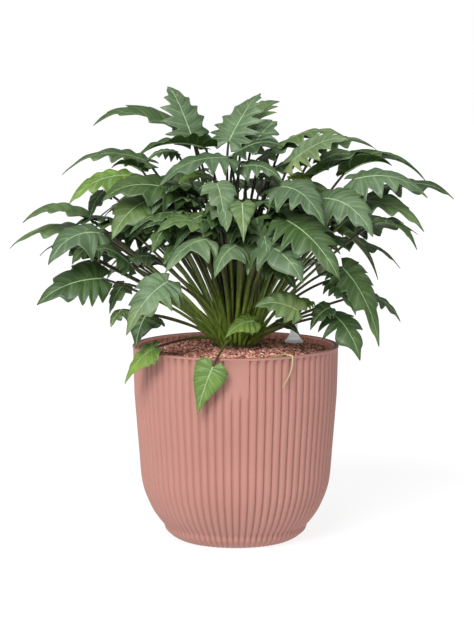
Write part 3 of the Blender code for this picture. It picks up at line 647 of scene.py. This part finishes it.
def tube(path, radii, start_across, sides):
    """A closed round tube along a path, as points and faces."""
    along = unit(np.gradient(path, axis=0))
    across = np.array(start_across, dtype=float)
    angles = np.arange(sides) * math.tau / sides
    points = []
    for spot, ahead, radius in zip(path, along, radii):
        across = unit(across - ahead * (across @ ahead))
        other = np.cross(ahead, across)
        ring = np.cos(angles)[:, None] * across + np.sin(angles)[:, None] * other
        points.append(spot + ring * radius)
    index = np.arange(len(path) * sides).reshape(-1, sides)
    ahead = np.roll(index, -1, axis=1)
    faces = quads(index[:-1], ahead[:-1], ahead[1:], index[1:])
    return np.concatenate(points), faces + [index[0][::-1].tolist(), index[-1].tolist()]


def joined(parts):
    """Several parts as one, each of points, faces, slots and point attributes."""
    points, faces, slots, floats = [], [], [], {}
    start = 0
    for part_points, part_faces, part_slots, part_floats in parts:
        points.append(part_points)
        faces += [[start + corner for corner in face] for face in part_faces]
        slots += part_slots
        for key, values in part_floats.items():
            floats.setdefault(key, []).append(values)
        start += len(part_points)
    return np.concatenate(points), faces, slots, {key: np.concatenate(values) for key, values in floats.items()}


# How finely a leaf is made: stations to each lobe, columns on each side, rings of the petiole and of the
# midrib, sides of the petiole
FINE = (12, 6, 22, 16, 8)
COARSE = (7, 4, 14, 9, 6)
RIB_SIDES = 6


def leaf_parts(leaf, slot, dice, grade):
    """One whole leaf: blade, petiole and midrib, as points, faces, slots and point attributes."""
    steps, columns, stem_rings, rib_rings, stem_sides = grade
    petiole, midrib, lateral = leaf_curves(leaf, slot)
    hook = dice.uniform(0.01, 0.06)
    parts = [blade(leaf, midrib, lateral, dice, hook, steps, columns)]
    stem_t = np.linspace(0.0, 1.0, stem_rings)
    stem_radius = PETIOLE_TOP + (PETIOLE_FOOT - PETIOLE_TOP) * (1.0 - stem_t) ** 1.3
    rib_t = np.linspace(0.0, 0.97, rib_rings)
    along = slope(midrib, rib_t)
    across = unit(lateral - along * (along @ lateral)[:, None])
    normal = np.cross(across, along)
    rib_radius = PETIOLE_TOP * (1.0 - rib_t) ** 0.75 * 0.80 + 0.00020
    drop = rib_radius * 0.62 + tip_hook(hook * np.linalg.norm(midrib[3] - midrib[0]), rib_t)
    rib = bezier(midrib, rib_t) - normal * drop[:, None]
    for path, radii, sides, slot_number, climb in (
            (bezier(petiole, stem_t), stem_radius, stem_sides, 2, stem_t),
            (rib, rib_radius, RIB_SIDES, 3, np.ones(rib_rings))):
        points, faces = tube(path, radii, lateral, sides)
        plain = np.zeros(len(points))
        parts.append((points, faces, [slot_number] * len(faces),
                      {"vein": plain, "reach": plain, "climb": np.repeat(climb, sides)}))
    points, faces, slots, floats = joined(parts)
    floats["tone"] = np.full(len(points), dice.uniform(-0.3, 0.3))
    return points, faces, slots, floats


def leaf_finishes(tone):
    return LEAF_TOPS[tone], LEAF_UNDER[tone], STALK, RIB


def grow_leaves():
    """Each CAD leaf gets its finished leaf."""
    leaves = all_leaves(LEAVES, RIM_LEAVES)
    slots = crown_slots(leaves)
    for number, leaf in enumerate(sorted(leaves, key=lambda leaf: leaf.name)):
        dice = np.random.default_rng(500 + number)
        points, faces, face_slots, floats = leaf_parts(leaf, slots[leaf.name], dice, FINE)
        made = solid(leaf.name + "_grown", points, faces, leaf_finishes(leaf.tone), face_slots, floats)
        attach(made, "root")
        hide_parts(leaf.name)


# Inner leaves: how many, the seed of their dice, how far back they may reach in millimetres, the turn from
# one to the next in radians, and their tones in turn
INNER_LEAVES = 108
INNER_SEED = 21
INNER_BACK = 222.0
GOLDEN_TURN = 2.39996
INNER_TONES = ("dark", "mid", "dark", "mid", "light")


def inner_rows():
    """Leaves that fill the inside and the back of the crown, by the rule that they grow in: each a golden
    angle on from the last, the low ones kept off the front, where the petioles stand bare."""
    dice = np.random.default_rng(INNER_SEED)
    rows = []
    for number in range(INNER_LEAVES):
        turn = number * GOLDEN_TURN + dice.uniform(-0.3, 0.3)
        side = math.sin(turn)
        front = -math.cos(turn)
        tilt = math.radians(dice.uniform(24.0, 74.0))
        if front < -0.15:
            tilt = math.radians(dice.uniform(46.0, 76.0))
        far = dice.uniform(185.0, 265.0) * (1.0 - 0.22 * math.sin(tilt) ** 4)
        level = far * math.cos(tilt) * (0.80 if front < 0 else 0.95)
        base = (level * side, level * front, far * math.sin(tilt) + 22.0)
        length = dice.uniform(62.0, 96.0)
        drop = dice.uniform(-0.10, 0.50)
        heading = turn + dice.uniform(-0.7, 0.7)
        tip = (base[0] + length * math.sin(heading), base[1] - length * math.cos(heading), base[2] - length * drop)
        back = min(1.0, INNER_BACK / max(base[1], tip[1], 1.0))
        base, tip = (base[0], base[1] * back, base[2]), (tip[0], tip[1] * back, tip[2])
        rows.append(("inner_%02d" % number, base, tip, 0.72 * length, dice.uniform(8.0, 18.0),
                     dice.uniform(0.0, 26.0), INNER_TONES[number % len(INNER_TONES)]))
    return rows


def fill_crown():
    """The smaller chosen leaves and the inner ones, joined into one piece for each tone."""
    parts = {}
    for number, leaf in enumerate(all_leaves((*FILLER_LEAVES, *inner_rows()))):
        dice = np.random.default_rng(900 + number)
        turn = math.atan2(leaf.base[1], leaf.base[0])
        away = (CROWN_RADIUS - 0.004) * math.sqrt((number * 0.618) % 1.0)
        slot = np.array((away * math.cos(turn), away * math.sin(turn), SLOT_TOP))
        grade = FINE if number < len(FILLER_LEAVES) else COARSE
        parts.setdefault(leaf.tone, []).append(leaf_parts(leaf, slot, dice, grade))
    for tone, leaves in parts.items():
        points, faces, slots, floats = joined(leaves)
        made = solid("inner_leaves_" + tone, points, faces, leaf_finishes(tone), slots, floats)
        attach(made, "root")


# --- Pot ---
def smooth_through(corners, pieces):
    """A smooth line through corner points (Catmull-Rom), with a number of pieces between each two."""
    corners = np.array(corners)
    ends = np.concatenate((corners[:1] * 2 - corners[1:2], corners, corners[-1:] * 2 - corners[-2:-1]))
    line = []
    for k in range(1, len(ends) - 2):
        a, b, c, d = ends[k - 1:k + 3]
        for t in np.arange(pieces[k - 1]) / pieces[k - 1]:
            line.append(0.5 * (2 * b + (c - a) * t + (2 * a - 5 * b + 4 * c - d) * t ** 2
                               + (3 * b - a - 3 * c + d) * t ** 3))
    line.append(corners[-1])
    return np.array(line)


def pot_outline():
    """Radius, height and flute share round the whole section, from the inner floor to the flat bottom."""
    band = POT_HEIGHT - RIM_BAND
    wall_top = RIM_RADIUS - RIM_STEP
    rise = band - RIM_STEP - WAIST_HEIGHT
    widen = wall_top - WAIST_RADIUS
    foot = WAIST_RADIUS - BASE_RADIUS
    side = [(wall_top, band - RIM_STEP), (wall_top - 0.03 * widen, POT_HEIGHT - PATCH_HEIGHT)]
    side += [(WAIST_RADIUS + out * widen, WAIST_HEIGHT + up * rise) for up, out in reversed(WALL_CURVE)]
    side.append((WAIST_RADIUS + 0.0004, WAIST_HEIGHT + 0.0008))
    outer = smooth_through(side, [5, 5, 6, 8, 6, 5, 5])
    lip = smooth_through([(RIM_RADIUS - 0.0014, POT_HEIGHT), (RIM_RADIUS - 0.0003, POT_HEIGHT - 0.0006),
                          (RIM_RADIUS, POT_HEIGHT - 0.0014), (RIM_RADIUS - 0.0003, band)], [2, 2, 2])
    toe = smooth_through([(WAIST_RADIUS, WAIST_HEIGHT - 0.0012), (WAIST_RADIUS - 0.0008, 0.82 * WAIST_HEIGHT),
                          (BASE_RADIUS + 0.88 * foot, 0.62 * WAIST_HEIGHT),
                          (BASE_RADIUS + 0.48 * foot, 0.25 * WAIST_HEIGHT),
                          (BASE_RADIUS + 0.12 * foot, 0.04 * WAIST_HEIGHT), (BASE_RADIUS, 0.0)], [2, 3, 4, 3, 2])
    inner = outer[::-1] - (WALL, 0.0)
    inner = inner[inner[:, 1] > FLOOR + 0.012]
    inner_lip = [(FILL_RADIUS, POT_HEIGHT - 0.004), (FILL_RADIUS + 0.0006, POT_HEIGHT - 0.0012),
                 (FILL_RADIUS + 0.0018, POT_HEIGHT)]
    flutes = np.concatenate((np.full(len(inner), -0.55), (-0.3, 0.0, 0.0), np.zeros(len(lip)),
                             np.ones(len(outer)), np.full(len(toe) - 1, 0.9), (0.6,)))
    return np.concatenate((inner, inner_lip, lip, outer, toe)), flutes


def new_geometry_tree(name, *inputs):
    """A Geometry Nodes tree with a geometry input and output and named size inputs."""
    tree = bpy.data.node_groups.new(name, "GeometryNodeTree")
    tree.interface.new_socket("Geometry", in_out="INPUT", socket_type="NodeSocketGeometry")
    for label, kind in inputs:
        tree.interface.new_socket(label, in_out="INPUT", socket_type="NodeSocket" + kind)
    tree.interface.new_socket("Geometry", in_out="OUTPUT", socket_type="NodeSocketGeometry")
    return tree, tree.nodes.new("NodeGroupInput"), tree.nodes.new("NodeGroupOutput")


def close_geometry_tree(tree, given, result, *nodes):
    """Join nodes in a row from the tree's input to its output, with the finish put on last."""
    painted = add(tree, "GeometryNodeSetMaterial", {"Material": given.outputs["Finish"]})
    nodes = (given, *nodes, add(tree, "GeometryNodeRealizeInstances"), painted, result)
    for first, second in zip(nodes, nodes[1:]):
        tree.links.new(first.outputs[0], second.inputs[0])
    return tree


def grow(host, tree, **values):
    """Run a tree on an object with its named inputs set, and keep the result as a plain mesh."""
    modifier = host.modifiers.new(tree.name, "NODES")
    modifier.node_group = tree
    for item in tree.interface.items_tree:
        key = item.name.replace(" ", "_")
        if item.in_out == "INPUT" and key in values:
            modifier[item.identifier] = values[key]
    graph = bpy.context.evaluated_depsgraph_get()
    mesh = bpy.data.meshes.new_from_object(host.evaluated_get(graph))
    host.modifiers.remove(modifier)
    host.data = mesh


def flute_tree():
    """Press grooves into a turned wall: rounded ribs side by side, left out over the label patch."""
    tree, given, result = new_geometry_tree(
        "pot_flutes", ("Ribs", "Float"), ("Groove Depth", "Float"), ("Rib Roundness", "Float"),
        ("Patch Ribs", "Float"), ("Patch Low", "Float"), ("Turn", "Float"), ("Finish", "Material"))
    ask = given.outputs
    place = add(tree, "GeometryNodeInputPosition").outputs[0]
    x, y, z = add(tree, "ShaderNodeSeparateXYZ", {0: place}).outputs
    angle = minus(tree, maths(tree, "ARCTAN2", x, times(tree, y, -1.0)), ask["Turn"])
    rib = times(tree, maths(tree, "DIVIDE", angle, math.tau), ask["Ribs"])
    within = maths(tree, "FRACT", plus(tree, rib, 0.5))
    off_crest = maths(tree, "ABSOLUTE", minus(tree, times(tree, within, 2.0), 1.0))
    groove = maths(tree, "POWER", off_crest, ask["Rib Roundness"])
    over = maths(tree, "LESS_THAN", maths(tree, "ABSOLUTE", rib), times(tree, ask["Patch Ribs"], 0.5))
    above = span(tree, z, ask["Patch Low"], plus(tree, ask["Patch Low"], 0.002))
    keep = minus(tree, 1.0, times(tree, over, above))
    share = add(tree, "GeometryNodeInputNamedAttribute", {"Name": "flute"}, data_type="FLOAT").outputs[0]
    depth = times(tree, groove, keep, share, times(tree, ask["Groove Depth"], -1.0))
    flat = add(tree, "ShaderNodeCombineXYZ", {0: x, 1: y}).outputs[0]
    push = vector(tree, "MULTIPLY", vector(tree, "NORMALIZE", flat), depth)
    return close_geometry_tree(tree, given, result, add(tree, "GeometryNodeSetPosition", {"Offset": push}))


COLUMNS_PER_RIB = 12
RIB_ROUNDNESS = 3.2


def turn_pot():
    """The planter: its section turned about Z, then fluted."""
    line, flutes = pot_outline()
    steps = RIB_COUNT * COLUMNS_PER_RIB
    angles = PATCH_TURN + np.arange(steps) * math.tau / steps
    ring = np.stack((np.sin(angles), -np.cos(angles)), axis=1)
    rounds = np.einsum("r,as->ras", line[:, 0], ring)
    heights = np.broadcast_to(line[:, 1][:, None, None], (len(line), steps, 1))
    points = np.concatenate((rounds, heights), axis=2).reshape(-1, 3)
    index = np.arange(len(points)).reshape(len(line), steps)
    ahead = np.roll(index, -1, axis=1)
    faces = quads(index[1:], ahead[1:], ahead[:-1], index[:-1])
    start, end = len(points), len(points) + 1
    points = np.concatenate((points, [(0.0, 0.0, FLOOR), (0.0, 0.0, 0.0)]))
    faces += [(start, index[0][k], ahead[0][k]) for k in range(steps)]
    faces += [(end, ahead[-1][k], index[-1][k]) for k in range(steps)]
    share = np.concatenate((np.repeat(flutes, steps), (0.0, 0.0)))
    host = solid("planter", points, faces, (POT_PINK,), None, {"flute": share})
    grow(host, flute_tree(), Ribs=float(RIB_COUNT), Groove_Depth=GROOVE_DEPTH, Rib_Roundness=RIB_ROUNDNESS,
         Patch_Ribs=float(PATCH_RIBS), Patch_Low=POT_HEIGHT - PATCH_HEIGHT, Turn=PATCH_TURN, Finish=POT_PINK)
    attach(host, "root")
    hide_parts("pot")


# --- Granules ---
# Lots of grains: name, spacing, grain radius, height over the filling's top, seed
GRAIN_LOTS = (("clay_granules_top", 0.0036, 0.0025, -0.0004, 4), ("clay_granules_low", 0.0042, 0.0027, -0.0022, 11))
BED_RINGS = 15
BED_STEPS = 64


def granule_top(radius):
    """Height of the filling's slightly mounded top."""
    share = np.minimum(radius / FILL_RADIUS, 1.0)
    return POT_HEIGHT - FILL_BELOW_RIM + MOUND * (1.0 - share * share)


def granule_tree():
    """Strew grains over a surface, each turned, sized and shaded by chance."""
    tree, given, result = new_geometry_tree(
        "clay_granules", ("Spacing", "Float"), ("Grain", "Float"), ("Seed", "Int"), ("Finish", "Material"))
    ask = given.outputs

    def chance(kind, inputs):
        return add(tree, "FunctionNodeRandomValue", inputs, data_type=kind).outputs

    strewn = add(tree, "GeometryNodeDistributePointsOnFaces",
                 {"Distance Min": ask["Spacing"], "Density Max": 160000.0, "Seed": ask["Seed"]},
                 distribute_method="POISSON")
    grain = add(tree, "GeometryNodeMeshIcoSphere", {"Radius": 1.0, "Subdivisions": 1}).outputs[0]
    spin = chance("FLOAT_VECTOR", {0: (0.0, 0.0, 0.0), 1: (6.28, 6.28, 6.28), "Seed": 3})[0]
    size = chance("FLOAT_VECTOR", {0: (0.75, 0.75, 0.60), 1: (1.30, 1.15, 1.05), "Seed": 5})[0]
    scaled = vector(tree, "MULTIPLY", size, ask["Grain"])
    lumps = add(tree, "GeometryNodeInstanceOnPoints", {"Instance": grain, "Rotation": spin, "Scale": scaled})
    tint = chance("FLOAT", {2: 0.0, 3: 1.0, "Seed": 8})[1]
    stored = add(tree, "GeometryNodeStoreNamedAttribute", {"Name": "tint", "Value": tint},
                 data_type="FLOAT", domain="INSTANCE")
    return close_geometry_tree(tree, given, result, strewn, lumps, stored)


def strew_granules():
    """Grains over the whole filling, with a second sparser lot between them."""
    points = [(0.0, 0.0, granule_top(0.0))]
    for radius in np.linspace(0.0, FILL_RADIUS - 0.0022, BED_RINGS + 1)[1:]:
        for angle in np.arange(BED_STEPS) * math.tau / BED_STEPS:
            points.append((radius * math.cos(angle), radius * math.sin(angle), granule_top(radius)))
    index = np.arange(1, len(points)).reshape(BED_RINGS, BED_STEPS)
    ahead = np.roll(index, -1, axis=1)
    faces = [(0, index[0][k], ahead[0][k]) for k in range(BED_STEPS)]
    faces += quads(index[:-1], index[1:], ahead[1:], ahead[:-1])
    tree = granule_tree()
    for name, spacing, grain, lift, seed in GRAIN_LOTS:
        host = solid(name, np.array(points) + (0.0, 0.0, lift), faces, (CLAY,))
        grow(host, tree, Spacing=spacing, Grain=grain, Seed=seed, Finish=CLAY)
        host.data.polygons.foreach_set("use_smooth", [False] * len(host.data.polygons))
        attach(host, "root")


# --- Level indicator, roots, CAD nodes that stay ---
TURNED_STEPS = 48
TUBE_WALL = 0.0010


def turned(name, line, centre, finish):
    """A section of (radius, height), turned about an upright axis, as a piece. A line that starts on the
    axis also ends there; any other is closed on itself."""
    angles = np.arange(TURNED_STEPS) * math.tau / TURNED_STEPS
    points, rings = [], []
    for radius, height in line:
        turns = angles if radius > 1e-6 else angles[:1]
        rings.append(range(len(points), len(points) + len(turns)))
        points += [(centre[0] + radius * math.cos(a), centre[1] + radius * math.sin(a), height) for a in turns]
    faces = []
    closed = len(rings[0]) > 1
    for low, high in zip(rings, rings[1:] + rings[:1] if closed else rings[1:]):
        for k in range(TURNED_STEPS):
            n = (k + 1) % TURNED_STEPS
            if len(low) == 1:
                faces.append((low[0], high[n], high[k]))
            elif len(high) == 1:
                faces.append((low[k], low[n], high[0]))
            else:
                faces.append((low[k], low[n], high[n], high[k]))
    made = solid(name, points, faces, (finish,))
    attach(made, "root")
    return made


def repaint(node, finish):
    """Give a CAD node that stays its finish."""
    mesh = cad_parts[node].data
    mesh.materials.clear()
    mesh.materials.append(finish)


def build_indicator():
    """Clear tube, flared collar and cap, with the float seen through the tube."""
    low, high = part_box("indicator_tube")
    centre = ((low.x + high.x) / 2, (low.y + high.y) / 2)
    radius = (high.x - low.x) / 2
    bore = radius - TUBE_WALL
    line = [(0.0, low.z), (radius, low.z), (radius, high.z - 0.0005), (radius - 0.0004, high.z), (bore, high.z),
            (bore, low.z + 0.002), (0.0, low.z + 0.002)]
    made = turned("indicator_tube_clear", line, centre, CLEAR)
    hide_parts("indicator_tube")
    base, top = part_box("indicator_collar")
    flare = (top.x - base.x) / 2
    neck = radius + 0.0003
    rise = top.z - base.z
    bell = smooth_through([(flare, base.z + 0.0014), (0.94 * flare, base.z + 0.24 * rise),
                           (0.72 * flare, base.z + 0.46 * rise), (neck + 0.0030, base.z + 0.66 * rise),
                           (neck + 0.0013, base.z + 0.86 * rise), (neck + 0.0012, top.z)], [4, 4, 4, 3, 2])
    line = [(flare - 0.0002, base.z), *bell, (neck, top.z), (neck, base.z + 0.4 * rise), (flare - 0.0016, base.z)]
    made = turned("indicator_collar_clear", line, centre, CLEAR)
    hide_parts("indicator_collar")
    repaint("indicator_float", FLOAT_RED)
    repaint("indicator_cap", CLEAR)


ROOT_TURN = math.radians(30.0)
ROOT_RADIUS = 0.0014
ROOT_SIDES = 10


def hang_root():
    """The pale root, a smooth tube along the CAD root's course: out of the grains, over the rim and down."""
    out = np.array((math.sin(ROOT_TURN), -math.cos(ROOT_TURN), 0.0))
    side = np.array((math.cos(ROOT_TURN), math.sin(ROOT_TURN), 0.0))
    clear = ROOT_RADIUS + 0.0003
    edge = RIM_RADIUS - WALL
    hang = RIM_RADIUS + clear
    course = ((edge - 0.030, granule_top(edge - 0.034) + clear, -0.006),
              (edge - 0.018, granule_top(edge) + clear + 0.006, -0.004),
              (edge - 0.004, POT_HEIGHT + clear + 0.0005, 0.000), (RIM_RADIUS - 0.001, POT_HEIGHT + clear, 0.002),
              (hang, POT_HEIGHT + 0.0010, 0.004), (hang + 0.0010, POT_HEIGHT - 0.004, 0.004),
              (hang + 0.0010, POT_HEIGHT - 0.014, 0.003), (hang + 0.0012, POT_HEIGHT - 0.028, -0.003),
              (hang + 0.0016, POT_HEIGHT - 0.042, -0.013))
    corners = [out * away + side * across + UP * height for away, height, across in course]
    path = smooth_through(corners, [5] * (len(corners) - 1))
    share = np.linspace(0.0, 1.0, len(path))
    points, faces = tube(path, ROOT_RADIUS * (1.0 - 0.6 * share ** 3), side, ROOT_SIDES)
    climb = np.repeat(share, ROOT_SIDES)
    made = solid("aerial_root_pale", points, faces, (PALE_ROOT,), None, {"climb": climb})
    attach(made, "root")
    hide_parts("aerial_root")


# --- Stage ---
AMBIENT = 0.32
FLOOR_REACH = 14.0
CAMERA_PLACE = (0.002, -3.32, 0.738)
CAMERA_PITCH = 7.14
CAMERA_LENS = 132.5
# Suns: name, degrees round from the front, degrees up, spread in degrees, power
SUNS = (("key", -22.0, 40.0, 30.0, 3.2), ("top", 30.0, 78.0, 50.0, 0.6), ("front", -12.0, 10.0, 50.0, 0.55))


def stand(name, data, pitch, turn, place=(0.0, 0.0, 0.0)):
    """Put a light or camera in the scene, its pitch and turn in degrees."""
    holder = bpy.data.objects.new(name, data)
    holder.location = place
    holder.rotation_euler = (math.radians(90.0 - pitch), 0.0, math.radians(turn))
    bpy.context.scene.collection.objects.link(holder)
    return holder


def set_stage():
    """Pale floor, soft light from the front left and the camera."""
    scene = bpy.context.scene
    scene.view_settings.view_transform = "Standard"
    finish = new_finish("pale_floor", Base_Color=(0.17, 0.17, 0.17, 1.0), Roughness=1.0, Specular_IOR_Level=0.0,
                        Emission_Color=WHITE, Emission_Strength=0.86)[0]
    corners = [(FLOOR_REACH * x, FLOOR_REACH * y, 0) for x, y in ((-1, -1), (1, -1), (1, 1), (-1, 1))]
    floor = solid("floor", corners, [(0, 1, 2, 3)], (finish,))
    world = bpy.data.worlds.new("studio")
    world.use_nodes = True
    scene.world = world
    tree = world.node_tree
    sky = tree.nodes["Background"]
    sky.inputs["Color"].default_value = WHITE
    seen = add(tree, "ShaderNodeLightPath").outputs["Is Camera Ray"]
    tree.links.new(span(tree, seen, 0.0, 1.0, AMBIENT, 1.0, "LINEAR"), sky.inputs["Strength"])
    for name, azimuth, elevation, spread, power in SUNS:
        light = bpy.data.lights.new(name, "SUN")
        light.angle = math.radians(spread)
        light.energy = power
        stand(name, light, elevation, azimuth)
    lens = bpy.data.cameras.new("camera")
    lens.lens = CAMERA_LENS
    scene.camera = stand("camera", lens, CAMERA_PITCH, 0.0, CAMERA_PLACE)


turn_pot()
repaint("granule_bed", CLAY_BED)
repaint("root_ball", BROWN_ROOT)
repaint("crown", BROWN_ROOT)
strew_granules()
build_indicator()
hang_root()
grow_leaves()
fill_crown()
set_stage()
